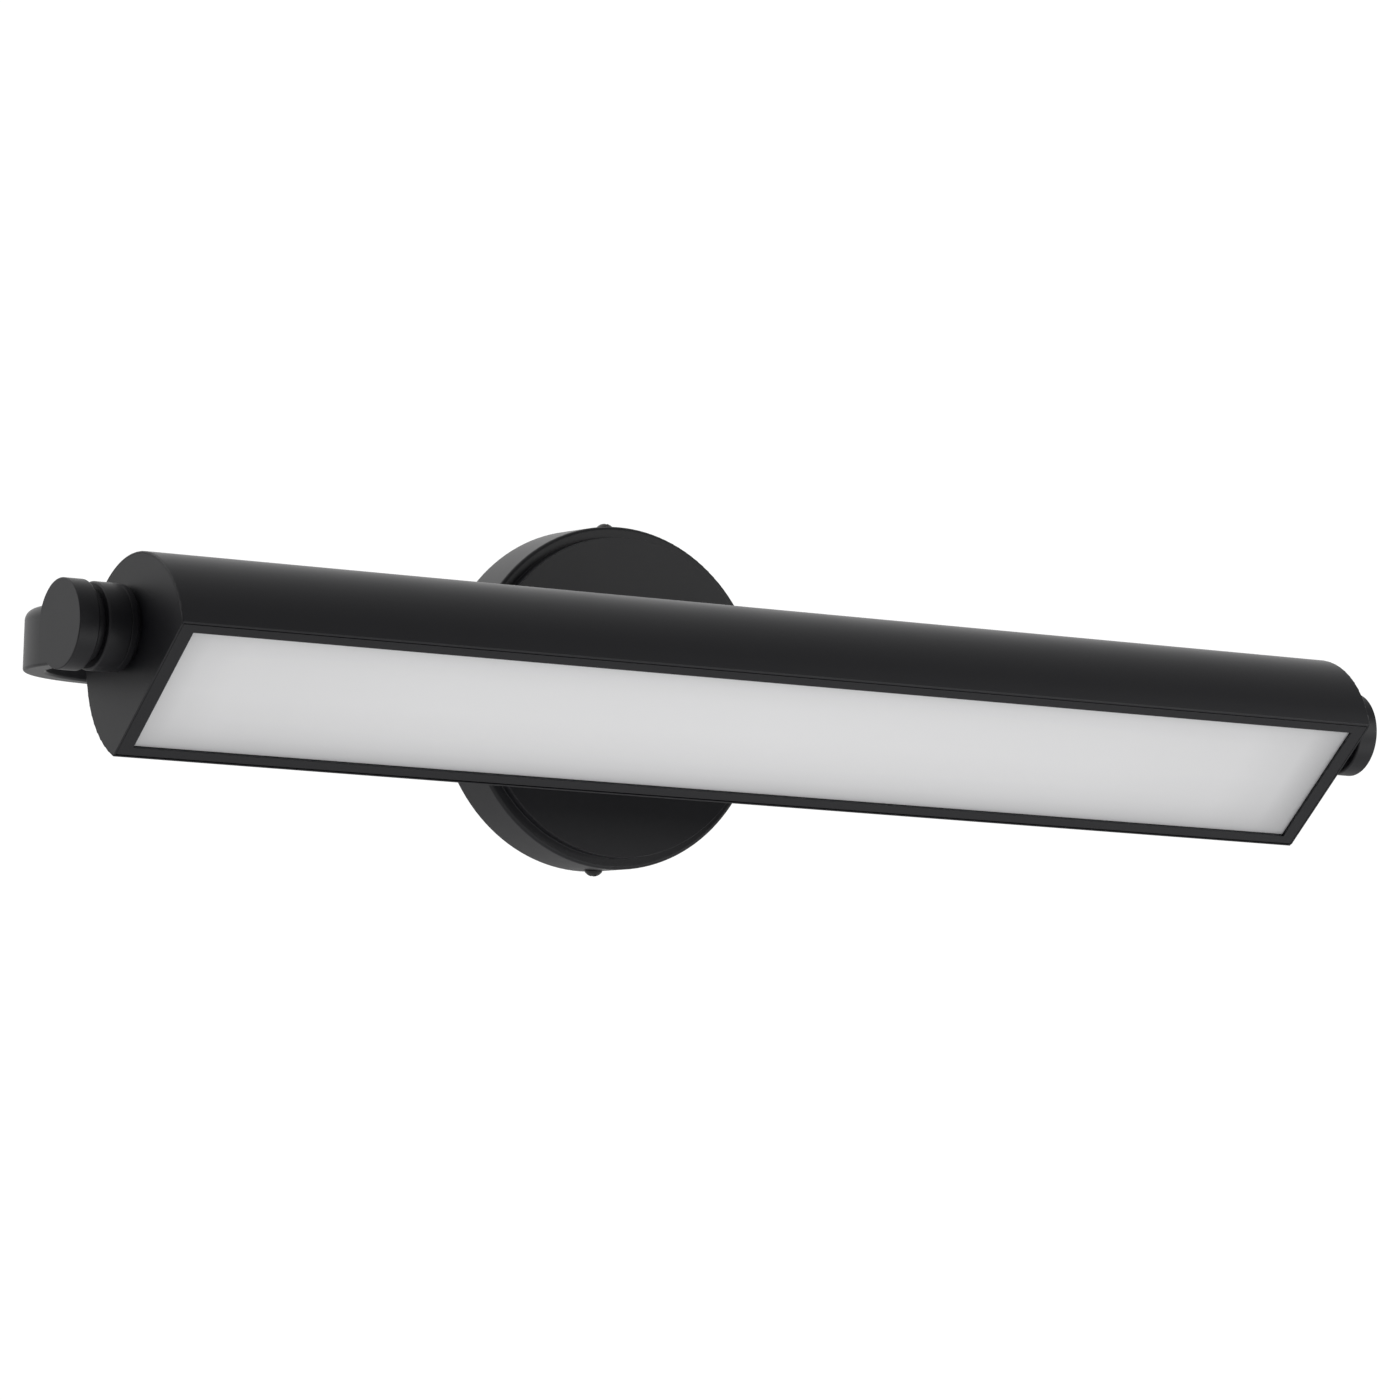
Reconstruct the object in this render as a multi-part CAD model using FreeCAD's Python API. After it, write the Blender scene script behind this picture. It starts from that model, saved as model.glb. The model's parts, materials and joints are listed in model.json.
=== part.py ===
"""Picture light: a tilting LED bar held by both ends in a bent arm on a round wall canopy.

Units are millimetres. The origin is the centre of the canopy's back on the wall plane Y = 0. The light
stands out towards -Y, X runs along the lamp head and Z is up. The lamp head is drawn with its face towards
-Y and its pivot at the origin, then tilted down to its rest angle and moved onto the pivot axis.
"""

import FreeCAD, Part
import math
import os

from FreeCAD import Vector

# ---------------------------------------------------------------- driving dimensions
HEAD_LENGTH = 500.0
HEAD_RADIUS = 36.24
FACE_DEPTH = 16.1             # the round body's axis to its flat front face
PIVOT_OFFSET = 13.6           # the round body's axis to the pivot axis, away from the face
PIVOT_Y, PIVOT_Z = -109.3, 0.9
REST_TILT = 48.1              # degrees that the face looks below the horizon at rest
TILT_UP, TILT_DOWN = 48.0, 87.0   # how far the head turns each way from rest

OVERALL_LENGTH = 549.0
DISC_RADIUS = 15.8
DISC_THICKNESS = 8.0

ARM_THICKNESS = 8.0
ARM_BOTTOM, ARM_TOP = -13.0, 8.6
ARM_WALL = 1.5
BEND_RADIUS = 52.0            # outer face of the bend
BEND_START_Y = -94.6

CANOPY_RADIUS = 63.8
CANOPY_RIM = 21.7
CANOPY_FACE = 26.0
CANOPY_DISC_RADIUS = 59.5
CANOPY_SHEET = 1.2
CANOPY_SCREW_Y = -9.3

STRAP_HALF_WIDTH = 12.0
STRAP_SHEET = 2.0
BOX_SCREW_NEAR, BOX_SCREW_FAR = 34.925, 44.45   # half of 2.75 in and of 3.5 in
BOX_SLOT_RADIUS = 2.5
BOX_SCREW_ROOM = 5.5          # round the head of a box screw

NIPPLE_RADIUS = 5.0           # M10 x 1 hollow thread, also the pivot tubes
NIPPLE_BORE = 3.5
LEAD_RADIUS = 1.2

HEAD_WALL = 2.0
LIP = 0.7                     # thin edge of the housing round the front frame and the end caps
SIDE_REVEAL, END_REVEAL = 0.45, 0.1   # gap between that edge and the front frame
FRAME_DEPTH = 2.0
END_BORDER, SIDE_BORDER = 6.0, 4.7   # black border round the diffuser
END_CAP = 3.0
CARRIER_BACK = -12.0          # rear face of the LED carrier, in the head's own frame
CARRIER_SHEET = 2.0

EDGE_ROUND = 0.5              # outer edges of the head's housing
FIT = 0.05                    # radial clearance of threads and running fits
CLEAR = 0.3                   # clearance between turning pieces

# ---------------------------------------------------------------- derived places
HALF = HEAD_LENGTH / 2
FACE = -(PIVOT_OFFSET + FACE_DEPTH)       # front face of the head, in the head's own frame
FACE_HALF_WIDTH = math.sqrt(HEAD_RADIUS ** 2 - FACE_DEPTH ** 2)
WINDOW_HALF_LENGTH = HALF - END_BORDER
WINDOW_HALF_WIDTH = FACE_HALF_WIDTH - SIDE_BORDER
FRAME_BACK = FACE + FRAME_DEPTH
CAP_INNER = HALF - END_CAP
DISC_OUTER = OVERALL_LENGTH / 2
DISC_INNER = DISC_OUTER - DISC_THICKNESS
BEND_CENTRE_X = DISC_OUTER - BEND_RADIUS
ARM_BACK_Y = BEND_START_Y + BEND_RADIUS   # face of the crossbar towards the wall
ARM_FRONT_Y = ARM_BACK_Y - ARM_THICKNESS
LEAD_Y = ARM_BACK_Y - ARM_THICKNESS / 2
CARRIER_FRONT = CARRIER_BACK - CARRIER_SHEET

X, Y, Z = Vector(1, 0, 0), Vector(0, 1, 0), Vector(0, 0, 1)
ORIGIN = Vector(0, 0, 0)


# ---------------------------------------------------------------- helpers
def across_x(x):
    """Places outline points (y, z) on the plane at x."""
    return lambda y, z: Vector(x, y, z)


def across_y(y):
    """Places outline points (x, z) on the plane at y."""
    return lambda x, z: Vector(x, y, z)


def across_z(z):
    """Places outline points (x, y) on the plane at z."""
    return lambda x, y: Vector(x, y, z)


def outline(corners, place):
    """A closed wire through corners (u, v) or (u, v, radius), each radius a tangent arc."""
    points = [place(c[0], c[1]) for c in corners]
    radii = [c[2] if len(c) > 2 else 0.0 for c in corners]
    arcs = []
    for i, corner in enumerate(points):
        to_last = (points[i - 1] - corner).normalize()
        to_next = (points[(i + 1) % len(points)] - corner).normalize()
        if radii[i] == 0.0:
            arcs.append((corner, None, corner))
            continue
        half_angle = to_last.getAngle(to_next) / 2
        reach = radii[i] / math.tan(half_angle)
        towards_centre = (to_last + to_next).normalize()
        sagitta = radii[i] / math.sin(half_angle) - radii[i]
        arcs.append((corner + to_last * reach, corner + towards_centre * sagitta, corner + to_next * reach))
    edges = []
    for i, (start, middle, end) in enumerate(arcs):
        if middle:
            edges.append(Part.Arc(start, middle, end).toShape())
        following = arcs[(i + 1) % len(arcs)][0]
        if end.distanceToPoint(following) > 1e-6:
            edges.append(Part.LineSegment(end, following).toShape())
    return Part.Wire(edges)


def prism(corners, place, along):
    return Part.Face(outline(corners, place)).extrude(along)


def rectangle(u, v, radius=0.0):
    """Corners of the rectangle from u[0], v[0] to u[1], v[1]."""
    return [(u[0], v[0], radius), (u[1], v[0], radius), (u[1], v[1], radius), (u[0], v[1], radius)]


def block(x, y, z):
    """The box between the two values of each of x, y and z."""
    return Part.makeBox(x[1] - x[0], y[1] - y[0], z[1] - z[0], Vector(x[0], y[0], z[0]))


def rod(radius, start, end):
    return Part.makeCylinder(radius, start.distanceToPoint(end), start, end - start)


def ring(outer, inner, start, end):
    return rod(outer, start, end).cut(rod(inner, start, end))


def turned(corners, axis=X, angle=360.0):
    """Turns the outline of (distance along the axis, radius) round an axis through the origin."""
    if axis == X:
        profile = outline(corners, across_z(0))
    else:
        profile = outline([(c[1], c[0]) + tuple(c[2:]) for c in corners], across_z(0))
    return Part.Face(profile).revolve(ORIGIN, axis, angle)


def hexagon(across_flats, bore, start, end):
    """A hexagonal nut with a round bore, its axis along X or Y."""
    corner = across_flats / math.sqrt(3)
    direction = (end - start).normalize()
    points = []
    for turn in range(7):
        angle = math.radians(60 * turn)
        u, v = corner * math.cos(angle), corner * math.sin(angle)
        points.append(start + (Vector(0, u, v) if abs(direction.x) > 0.5 else Vector(u, 0, v)))
    return Part.Face(Part.makePolygon(points)).extrude(end - start).cut(rod(bore, start, end))


def drilled(body, radius, centres, along):
    """Cuts a round hole from each centre along a vector."""
    for centre in centres:
        body = body.cut(rod(radius, centre, centre + along))
    return body


def screw(seat, into, shank, length, domed=False):
    """A cross-recess screw: seat is the centre of the head's underside, into the way the shank points.

    The head is a pan with a rounded edge or, when domed, a cap of a sphere on a thin base.
    """
    head, height, base = 1.72 * shank, 1.15 * shank, 0.2 * shank
    body = turned([(-height, 0), (-height, head, 0.45 * shank), (0, head), (0, 0)])
    if domed:
        rise = height - base
        sphere_radius = (head ** 2 + rise ** 2) / (2 * rise)
        sphere = Part.makeSphere(sphere_radius, X * (sphere_radius - height))
        body = rod(head, -X * height, ORIGIN).common(sphere)
    body = body.fuse(rod(shank, ORIGIN, X * length))
    reach, half_width, depth = 0.6 * head, 0.24 * shank, 0.5 * shank
    for half_y, half_z in ((reach, half_width), (half_width, reach)):
        body = body.cut(block((-height, depth - height), (-half_y, half_y), (-half_z, half_z)))
    return placed(body, seat, into)


def placed(body, seat, along):
    """Moves a body drawn along +X from the origin so that it starts at seat and runs along a direction."""
    body = body.copy()
    body.Placement = FreeCAD.Placement(seat, FreeCAD.Rotation(X, along))
    return body


def mirrored(body):
    return body.mirror(ORIGIN, X)


def above_and_below(point):
    """The point and its mirror image in the plane Z = 0."""
    return [point, Vector(point.x, point.y, -point.z)]


def four_ways(point):
    """The point and its mirror images in the planes X = 0 and Z = 0."""
    return above_and_below(point) + above_and_below(Vector(-point.x, point.y, point.z))


def both_sides(body):
    return [body, mirrored(body)]


def round_the_pivot(radius, degrees, x):
    """A point at a radius and an angle, from +Y towards +Z, round the pivot axis through the origin."""
    return Vector(x, radius * math.cos(math.radians(degrees)), radius * math.sin(math.radians(degrees)))


def on_pivot(body):
    """Moves a body drawn round the origin onto the pivot axis."""
    return body.translated(Vector(0, PIVOT_Y, PIVOT_Z))


def tilted(body):
    """Turns a piece of the head to its rest tilt and moves it onto the pivot axis."""
    return on_pivot(body.rotated(ORIGIN, X, REST_TILT))


# ---------------------------------------------------------------- canopy and wall strap
CANOPY_STEP_ROUND = 0.4       # hollow corner between the rim and the raised face
CANOPY_RIM_ROUND = 1.3
CANOPY_FACE_ROUND = 0.2
CANOPY_TOP_SCREW = Vector(0, CANOPY_SCREW_Y, CANOPY_RADIUS)
CANOPY_SCREW_SHANK, CANOPY_SCREW_LENGTH = 2.0, 9.0
STRAP_END = 60.5              # half the strap's length over its bent tabs
STRAP_TAB = 16.0
STRAP_BEND = 1.0              # inner radius
GROUND_SCREW = Vector(-6.0, -STRAP_SHEET, -22.0)
GROUND_SHANK = 2.0

DRIVER_X = (17.0, 49.0)
DRIVER_HALF_HEIGHT = 33.0
DRIVER_DEPTH = 14.0
DRIVER_CORNER = 2.5
DRIVER_EAR, DRIVER_EAR_SHEET, DRIVER_EAR_HALF_WIDTH = 6.0, 2.0, 6.0
DRIVER_SHANK = 1.5
BRACKET_SHEET = 1.0
BRACKET_X = (4.0, DRIVER_X[1] - 4.0)
DRIVER_BACK = -(STRAP_SHEET + BRACKET_SHEET)
DRIVER_FRONT = DRIVER_BACK - DRIVER_DEPTH
DRIVER_SCREW = Vector(33.0, DRIVER_BACK - DRIVER_EAR_SHEET, DRIVER_HALF_HEIGHT + DRIVER_EAR / 2)
RIVET = Vector(8.0, DRIVER_BACK, 28.0)
RIVET_SHANK, RIVET_HEAD, RIVET_HEAD_HEIGHT = 1.6, 2.6, 1.2


def canopy():
    """Pressed pan: a rim with a rounded edge and a raised flat face."""
    rim_inside, face_inside = CANOPY_SHEET - CANOPY_RIM, CANOPY_SHEET - CANOPY_FACE
    pan = turned([
        (-CANOPY_FACE, NIPPLE_RADIUS + CLEAR),
        (-CANOPY_FACE, CANOPY_DISC_RADIUS, CANOPY_FACE_ROUND),
        (-CANOPY_RIM, CANOPY_DISC_RADIUS, CANOPY_STEP_ROUND),
        (-CANOPY_RIM, CANOPY_RADIUS, CANOPY_RIM_ROUND),
        (0, CANOPY_RADIUS),
        (0, CANOPY_RADIUS - CANOPY_SHEET),
        (rim_inside, CANOPY_RADIUS - CANOPY_SHEET, CANOPY_RIM_ROUND - CANOPY_SHEET),
        (rim_inside, CANOPY_DISC_RADIUS - CANOPY_SHEET),
        (face_inside, CANOPY_DISC_RADIUS - CANOPY_SHEET),
        (face_inside, NIPPLE_RADIUS + CLEAR),
    ], Y)
    return drilled(pan, CANOPY_SCREW_SHANK + CLEAR, [CANOPY_TOP_SCREW], -Z * (2 * CANOPY_RADIUS))


def canopy_screws():
    top, bottom = above_and_below(CANOPY_TOP_SCREW)
    size = (CANOPY_SCREW_SHANK - FIT, CANOPY_SCREW_LENGTH)
    return [screw(top, -Z, *size, domed=True), screw(bottom, Z, *size, domed=True)]


def mounting_strap():
    """Steel channel across the wall box, slotted for its screws and tapped for the canopy's."""
    inside, outer_bend = STRAP_END - STRAP_SHEET, STRAP_BEND + STRAP_SHEET
    channel = prism([
        (0, -STRAP_END, outer_bend), (-STRAP_TAB, -STRAP_END), (-STRAP_TAB, -inside),
        (-STRAP_SHEET, -inside, STRAP_BEND), (-STRAP_SHEET, inside, STRAP_BEND),
        (-STRAP_TAB, inside), (-STRAP_TAB, STRAP_END), (0, STRAP_END, outer_bend),
    ], across_x(-STRAP_HALF_WIDTH), X * (2 * STRAP_HALF_WIDTH))
    for side in (-1, 1):
        ends = [Vector(0, 0, side * BOX_SCREW_NEAR), Vector(0, 0, side * BOX_SCREW_FAR)]
        slot = block((-BOX_SLOT_RADIUS, BOX_SLOT_RADIUS), (-STRAP_SHEET, 0), sorted(end.z for end in ends))
        channel = drilled(channel.cut(slot), BOX_SLOT_RADIUS, ends, -Y * STRAP_SHEET)
    channel = drilled(channel, CANOPY_SCREW_SHANK, [CANOPY_TOP_SCREW], -Z * (2 * CANOPY_RADIUS))
    channel = drilled(channel, RIVET_SHANK, above_and_below(RIVET), -Y * DRIVER_BACK)
    return drilled(channel, GROUND_SHANK, [GROUND_SCREW], Y * STRAP_SHEET).removeSplitter()


def ground_screw():
    return screw(GROUND_SCREW, Y, GROUND_SHANK - FIT, STRAP_SHEET)


def driver_bracket():
    """Sheet riveted to the strap, which carries the driver and is notched beside the box screws."""
    half_height = DRIVER_HALF_HEIGHT + DRIVER_EAR
    plate = block(BRACKET_X, (DRIVER_BACK, -STRAP_SHEET), (-half_height, half_height))
    plate = drilled(plate, RIVET_SHANK, above_and_below(RIVET), Y * BRACKET_SHEET)
    plate = drilled(plate, DRIVER_SHANK, above_and_below(DRIVER_SCREW), -Y * DRIVER_SCREW.y)
    notch_z = (BOX_SCREW_NEAR - BOX_SCREW_ROOM, BOX_SCREW_FAR + BOX_SCREW_ROOM)
    notch = block((0, BOX_SCREW_ROOM), (DRIVER_BACK, 0), notch_z)
    return plate.cut(notch).cut(notch.mirror(ORIGIN, Z))


def bracket_rivets():
    shank, tail = RIVET_SHANK - FIT, -DRIVER_BACK
    rivet = turned([
        (-RIVET_HEAD_HEIGHT, 0), (-RIVET_HEAD_HEIGHT, RIVET_HEAD, 0.8), (0, RIVET_HEAD),
        (0, shank), (tail, shank), (tail, 0),
    ])
    return [placed(rivet, seat, Y) for seat in above_and_below(RIVET)]


def led_driver():
    """Moulded case with a screw ear at each end."""
    case = prism(rectangle(DRIVER_X, (-DRIVER_HALF_HEIGHT, DRIVER_HALF_HEIGHT), DRIVER_CORNER),
                 across_y(DRIVER_FRONT), Y * DRIVER_DEPTH)
    half_height = DRIVER_HALF_HEIGHT + DRIVER_EAR
    ears = block((DRIVER_SCREW.x - DRIVER_EAR_HALF_WIDTH, DRIVER_SCREW.x + DRIVER_EAR_HALF_WIDTH),
                 (DRIVER_BACK - DRIVER_EAR_SHEET, DRIVER_BACK), (-half_height, half_height))
    case = case.fuse(ears)
    case = drilled(case, DRIVER_SHANK + 0.2, above_and_below(DRIVER_SCREW), Y * DRIVER_EAR_SHEET)
    return case.removeSplitter()


def driver_screws():
    length = DRIVER_EAR_SHEET + BRACKET_SHEET
    return [screw(seat, Y, DRIVER_SHANK - FIT, length) for seat in above_and_below(DRIVER_SCREW)]


def input_terminals():
    """Push-in terminals for three supply conductors, on the side of the driver."""
    pitch, entry_radius, entry_depth = 5.5, 1.9, 6.0
    outer_x, bottom = DRIVER_X[0] - 8.0, 5.0
    body = block((outer_x, DRIVER_X[0]), (DRIVER_BACK - 10.0, DRIVER_BACK), (bottom, bottom + 18.0))
    entries = [Vector(outer_x, DRIVER_BACK - 5.0, bottom + 3.5 + pitch * i) for i in range(3)]
    return drilled(body, entry_radius, entries, X * entry_depth)


# ---------------------------------------------------------------- stem between canopy and arm
STEM_RADIUS = 8.5
STEM_THREAD_END = -34.0
STEM_ROOM = 6.5
NIPPLE_END = -13.0


def arm_stem():
    canopy_end, arm_end = Vector(0, -CANOPY_FACE, 0), Vector(0, ARM_BACK_Y, 0)
    thread_end = Vector(0, STEM_THREAD_END, 0)
    stem = rod(STEM_RADIUS, canopy_end, arm_end)
    stem = stem.cut(rod(NIPPLE_RADIUS + FIT, canopy_end, thread_end))
    return stem.cut(rod(STEM_ROOM, thread_end, arm_end))


def stem_nipple():
    return ring(NIPPLE_RADIUS, NIPPLE_BORE, Vector(0, NIPPLE_END, 0), Vector(0, STEM_THREAD_END, 0))


WASHER_SEAT = -(CANOPY_FACE - CANOPY_SHEET)
WASHER_SHEET = 1.5


def nipple_washer():
    seat = Vector(0, WASHER_SEAT, 0)
    return ring(2 * NIPPLE_RADIUS, NIPPLE_RADIUS + FIT, seat, seat + Y * WASHER_SHEET)


def nipple_nut():
    start = WASHER_SEAT + WASHER_SHEET
    return hexagon(14.0, NIPPLE_RADIUS + FIT, Vector(0, start, 0), Vector(0, start + 5, 0))


BUSHING_BORE = 2.5            # roomy, since the lead runs at the pivot's height


def nipple_bushing():
    """Plastic bush that keeps the lead off the nipple's end."""
    flange, skirt_end = NIPPLE_END + 1.0, NIPPLE_END - 6.0
    return turned([
        (flange, BUSHING_BORE), (flange, NIPPLE_RADIUS), (NIPPLE_END, NIPPLE_RADIUS),
        (NIPPLE_END, NIPPLE_BORE - FIT), (skirt_end, NIPPLE_BORE - FIT), (skirt_end, BUSHING_BORE),
    ], Y)


# ---------------------------------------------------------------- bent arm
ARM_TOP_ROUND = 4.0           # outer upper edge
ARM_EDGE_ROUND = 1.0


def arm_section(inset=0.0):
    """Corners (distance out from the inner face, height) of the arm's section, or of its hollow."""
    top_round = max(ARM_TOP_ROUND - 1.5 * inset, ARM_EDGE_ROUND)
    edge_round = max(ARM_EDGE_ROUND - inset, 0.6)
    outer = ARM_THICKNESS - inset
    bottom, top = ARM_BOTTOM + inset, ARM_TOP - inset
    return [
        (inset, bottom, edge_round), (outer, bottom, edge_round),
        (outer, top, top_round), (inset, top, edge_round),
    ]


def cheek_and_bend(inset, front_y):
    """The straight cheek from front_y to the bend, and the quarter bend, on the left side."""
    inner_x = -(DISC_OUTER - ARM_THICKNESS)

    def section_at(y):
        return Part.Face(outline(arm_section(inset), lambda out, z: Vector(inner_x - out, y, z)))

    cheek = section_at(front_y).extrude(Y * (BEND_START_Y - front_y))
    bend = section_at(BEND_START_Y).revolve(Vector(-BEND_CENTRE_X, BEND_START_Y, 0), Z, -90.0)
    return cheek.fuse(bend)


STOP_RADIUS = 11.0
STOP_PIN_RADIUS = 1.2
STOP_PIN_ANGLE = 160.0        # at rest, from +Y towards +Z, clear of the arm
STOP_GROOVE_DEPTH = 2.3


def stop_groove():
    """Arc groove in the disc's inner face that the stop pin runs in."""
    half_width = STOP_PIN_RADIUS + CLEAR
    margin = math.degrees(half_width / STOP_RADIUS)
    start = STOP_PIN_ANGLE - TILT_UP - margin
    sweep = TILT_UP + TILT_DOWN + 2 * margin
    groove = turned(rectangle((-DISC_INNER - STOP_GROOVE_DEPTH, -DISC_INNER),
                              (STOP_RADIUS - half_width, STOP_RADIUS + half_width)), X, sweep)
    return on_pivot(groove.rotated(ORIGIN, X, start))


PIVOT_TUBE_END = 272.5        # outer end of the pivot tube, inside the disc
PIVOT_SLOT_HALF = 2.0
DISC_FRONT_ROUND, DISC_BACK_ROUND = 0.4, 0.9


def left_arm_end():
    """Pivot disc, cheek and bend of the arm as one hollow casting."""
    disc = on_pivot(turned([
        (-DISC_OUTER, 0), (-DISC_OUTER, DISC_RADIUS, DISC_FRONT_ROUND),
        (-DISC_INNER, DISC_RADIUS, DISC_BACK_ROUND), (-DISC_INNER, 0),
    ]))
    body = disc.fuse(cheek_and_bend(0.0, PIVOT_Y)).removeSplitter()
    body = body.cut(cheek_and_bend(ARM_WALL, PIVOT_Y + NIPPLE_RADIUS - 0.8))
    bore = rod(NIPPLE_RADIUS + FIT, Vector(-PIVOT_TUBE_END, 0, 0), Vector(-DISC_INNER, 0, 0))
    return body.cut(on_pivot(bore)).cut(stop_groove())


def crossbar():
    def section(inset):
        return outline(arm_section(inset), lambda out, z: Vector(-BEND_CENTRE_X, ARM_FRONT_Y + out, z))

    along = X * (2 * BEND_CENTRE_X)
    bar = Part.Face(section(0.0)).extrude(along).cut(Part.Face(section(ARM_WALL)).extrude(along))
    lead_hole = rod(STEM_ROOM, Vector(0, ARM_BACK_Y, 0), Vector(0, ARM_BACK_Y - ARM_WALL - 1, 0))
    return bar.cut(lead_hole)


# ---------------------------------------------------------------- pivot hardware, one set at each end
COLLAR_RADIUS = 15.4
COLLAR_OUTER = DISC_OUTER - 11.3
COLLAR_INNER = DISC_OUTER - 20.2
COLLAR_ROUND = 0.8
NECK_RADIUS = 12.6
SPACER_RADIUS = 15.2
SEAM_ROUND = 0.35             # broken edges where collar and spacer meet
SPACER_INNER = DISC_OUTER - 23.0
BOSS_RADIUS = 13.0
WASHER_RADIUS = 8.5
WASHER_THICKNESS = 1.0
BUSH_RADIUS = 6.5
BUSH_FLANGE = 7.4
COLLAR_SCREW_RADIUS = 10.5
COLLAR_SCREW_SHANK = 1.5
PIVOT_INNER_END = 236.5


def pivot_tube():
    """Hollow threaded tube fixed in the disc, slotted where the lead enters it."""
    tube = ring(NIPPLE_RADIUS, NIPPLE_BORE, Vector(-PIVOT_TUBE_END, 0, 0), Vector(-PIVOT_INNER_END, 0, 0))
    slot = block((-PIVOT_TUBE_END, -DISC_INNER), (0, NIPPLE_RADIUS + 1), (-PIVOT_SLOT_HALF, PIVOT_SLOT_HALF))
    return on_pivot(tube.cut(slot))


def friction_washer():
    return on_pivot(ring(WASHER_RADIUS, NIPPLE_RADIUS + FIT, Vector(-DISC_INNER, 0, 0),
                         Vector(-DISC_INNER + WASHER_THICKNESS, 0, 0)))


def thrust_washer():
    outer = CAP_INNER - 1.0 - FIT
    return on_pivot(ring(BUSH_FLANGE, NIPPLE_RADIUS + FIT, Vector(-outer, 0, 0), Vector(-outer + 1, 0, 0)))


def wave_washer():
    """Sprung ring that presses the joint together, drawn as a shallow cone."""
    outer = CAP_INNER - 2.0 - FIT
    rim, sheet = outer - 0.7, 0.5
    return on_pivot(turned([
        (-outer, NIPPLE_RADIUS + FIT), (-rim, BUSH_FLANGE), (-rim + sheet, BUSH_FLANGE),
        (-outer + sheet, NIPPLE_RADIUS + FIT),
    ]))


def pivot_lock_nut():
    outer = CAP_INNER - 2.0 - FIT - 1.2
    return on_pivot(hexagon(14.0, NIPPLE_RADIUS + FIT, Vector(-outer, 0, 0), Vector(-outer + 5, 0, 0)))


def collar():
    """Turned collar that rides on the head, with the neck and the friction washer's seat."""
    seat = DISC_INNER - WASHER_THICKNESS - FIT
    body = turned([
        (-DISC_INNER + CLEAR, WASHER_RADIUS + CLEAR), (-DISC_INNER + CLEAR, NECK_RADIUS),
        (-COLLAR_OUTER, NECK_RADIUS), (-COLLAR_OUTER, COLLAR_RADIUS, COLLAR_ROUND),
        (-COLLAR_INNER, COLLAR_RADIUS, SEAM_ROUND), (-COLLAR_INNER, NIPPLE_RADIUS + CLEAR),
        (-seat, NIPPLE_RADIUS + CLEAR), (-seat, WASHER_RADIUS + CLEAR),
    ])
    pin_hole = round_the_pivot(STOP_RADIUS, STOP_PIN_ANGLE - REST_TILT, -DISC_INNER)
    body = drilled(body, STOP_PIN_RADIUS, [pin_hole], X * 8.0)
    return drilled(body, COLLAR_SCREW_SHANK, collar_screw_centres(-COLLAR_INNER), -X * 6.0)


def collar_screw_centres(x):
    return [round_the_pivot(COLLAR_SCREW_RADIUS, angle, x) for angle in (30.0, 210.0)]


def spacer_ring():
    body = turned([
        (-COLLAR_INNER, NIPPLE_RADIUS + CLEAR), (-COLLAR_INNER, SPACER_RADIUS, SEAM_ROUND),
        (-SPACER_INNER, SPACER_RADIUS, 0.6), (-SPACER_INNER, NIPPLE_RADIUS + CLEAR),
    ])
    thickness = COLLAR_INNER - SPACER_INNER
    return drilled(body, COLLAR_SCREW_SHANK + 0.1, collar_screw_centres(-COLLAR_INNER), X * thickness)


def pivot_bush():
    """Nylon bush in the end cap, running on the pivot tube."""
    return turned([
        (-SPACER_INNER, NIPPLE_RADIUS + FIT), (-SPACER_INNER, BUSH_RADIUS), (-CAP_INNER, BUSH_RADIUS),
        (-CAP_INNER, BUSH_FLANGE), (-CAP_INNER + 1, BUSH_FLANGE), (-CAP_INNER + 1, NIPPLE_RADIUS + FIT),
    ])


def collar_screws():
    centres = collar_screw_centres(-CAP_INNER)
    return [screw(centre, -X, COLLAR_SCREW_SHANK - FIT, 12.0) for centre in centres]


def stop_pin():
    outer = -DISC_INNER - STOP_GROOVE_DEPTH + 0.5
    start = round_the_pivot(STOP_RADIUS, STOP_PIN_ANGLE - REST_TILT, outer)
    return rod(STOP_PIN_RADIUS - FIT, start, start + X * 9.5)


# ---------------------------------------------------------------- lamp head
def d_outline(radius, front, x):
    """The round body's section of a radius, cut flat at front, on the plane at x."""
    depth = -PIVOT_OFFSET - front
    half_width = math.sqrt(radius ** 2 - depth ** 2)
    top, bottom = Vector(x, front, half_width), Vector(x, front, -half_width)
    back = Vector(x, radius - PIVOT_OFFSET, 0)
    return Part.Wire([Part.Arc(top, back, bottom).toShape(), Part.LineSegment(bottom, top).toShape()])


def d_prism(radius, front, x):
    return Part.Face(d_outline(radius, front, x[0])).extrude(X * (x[1] - x[0]))


def frame_rebate():
    """The shallow recess that the front frame lies in."""
    half_x, half_z = HALF - LIP, FACE_HALF_WIDTH - LIP
    return block((-half_x, half_x), (FACE - 1, FRAME_BACK), (-half_z, half_z))


LEDGE_DEPTH = 2.5
LEDGE_EDGE = 25.5
CATCH_EDGE = 31.4
CATCH_FRONT = FRAME_BACK + 5.8
CATCH_BACK = CATCH_FRONT + 1.2
CARRIER_HALF_WIDTH = 31.0
CARRIER_HALF_LENGTH = 240.0


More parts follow.
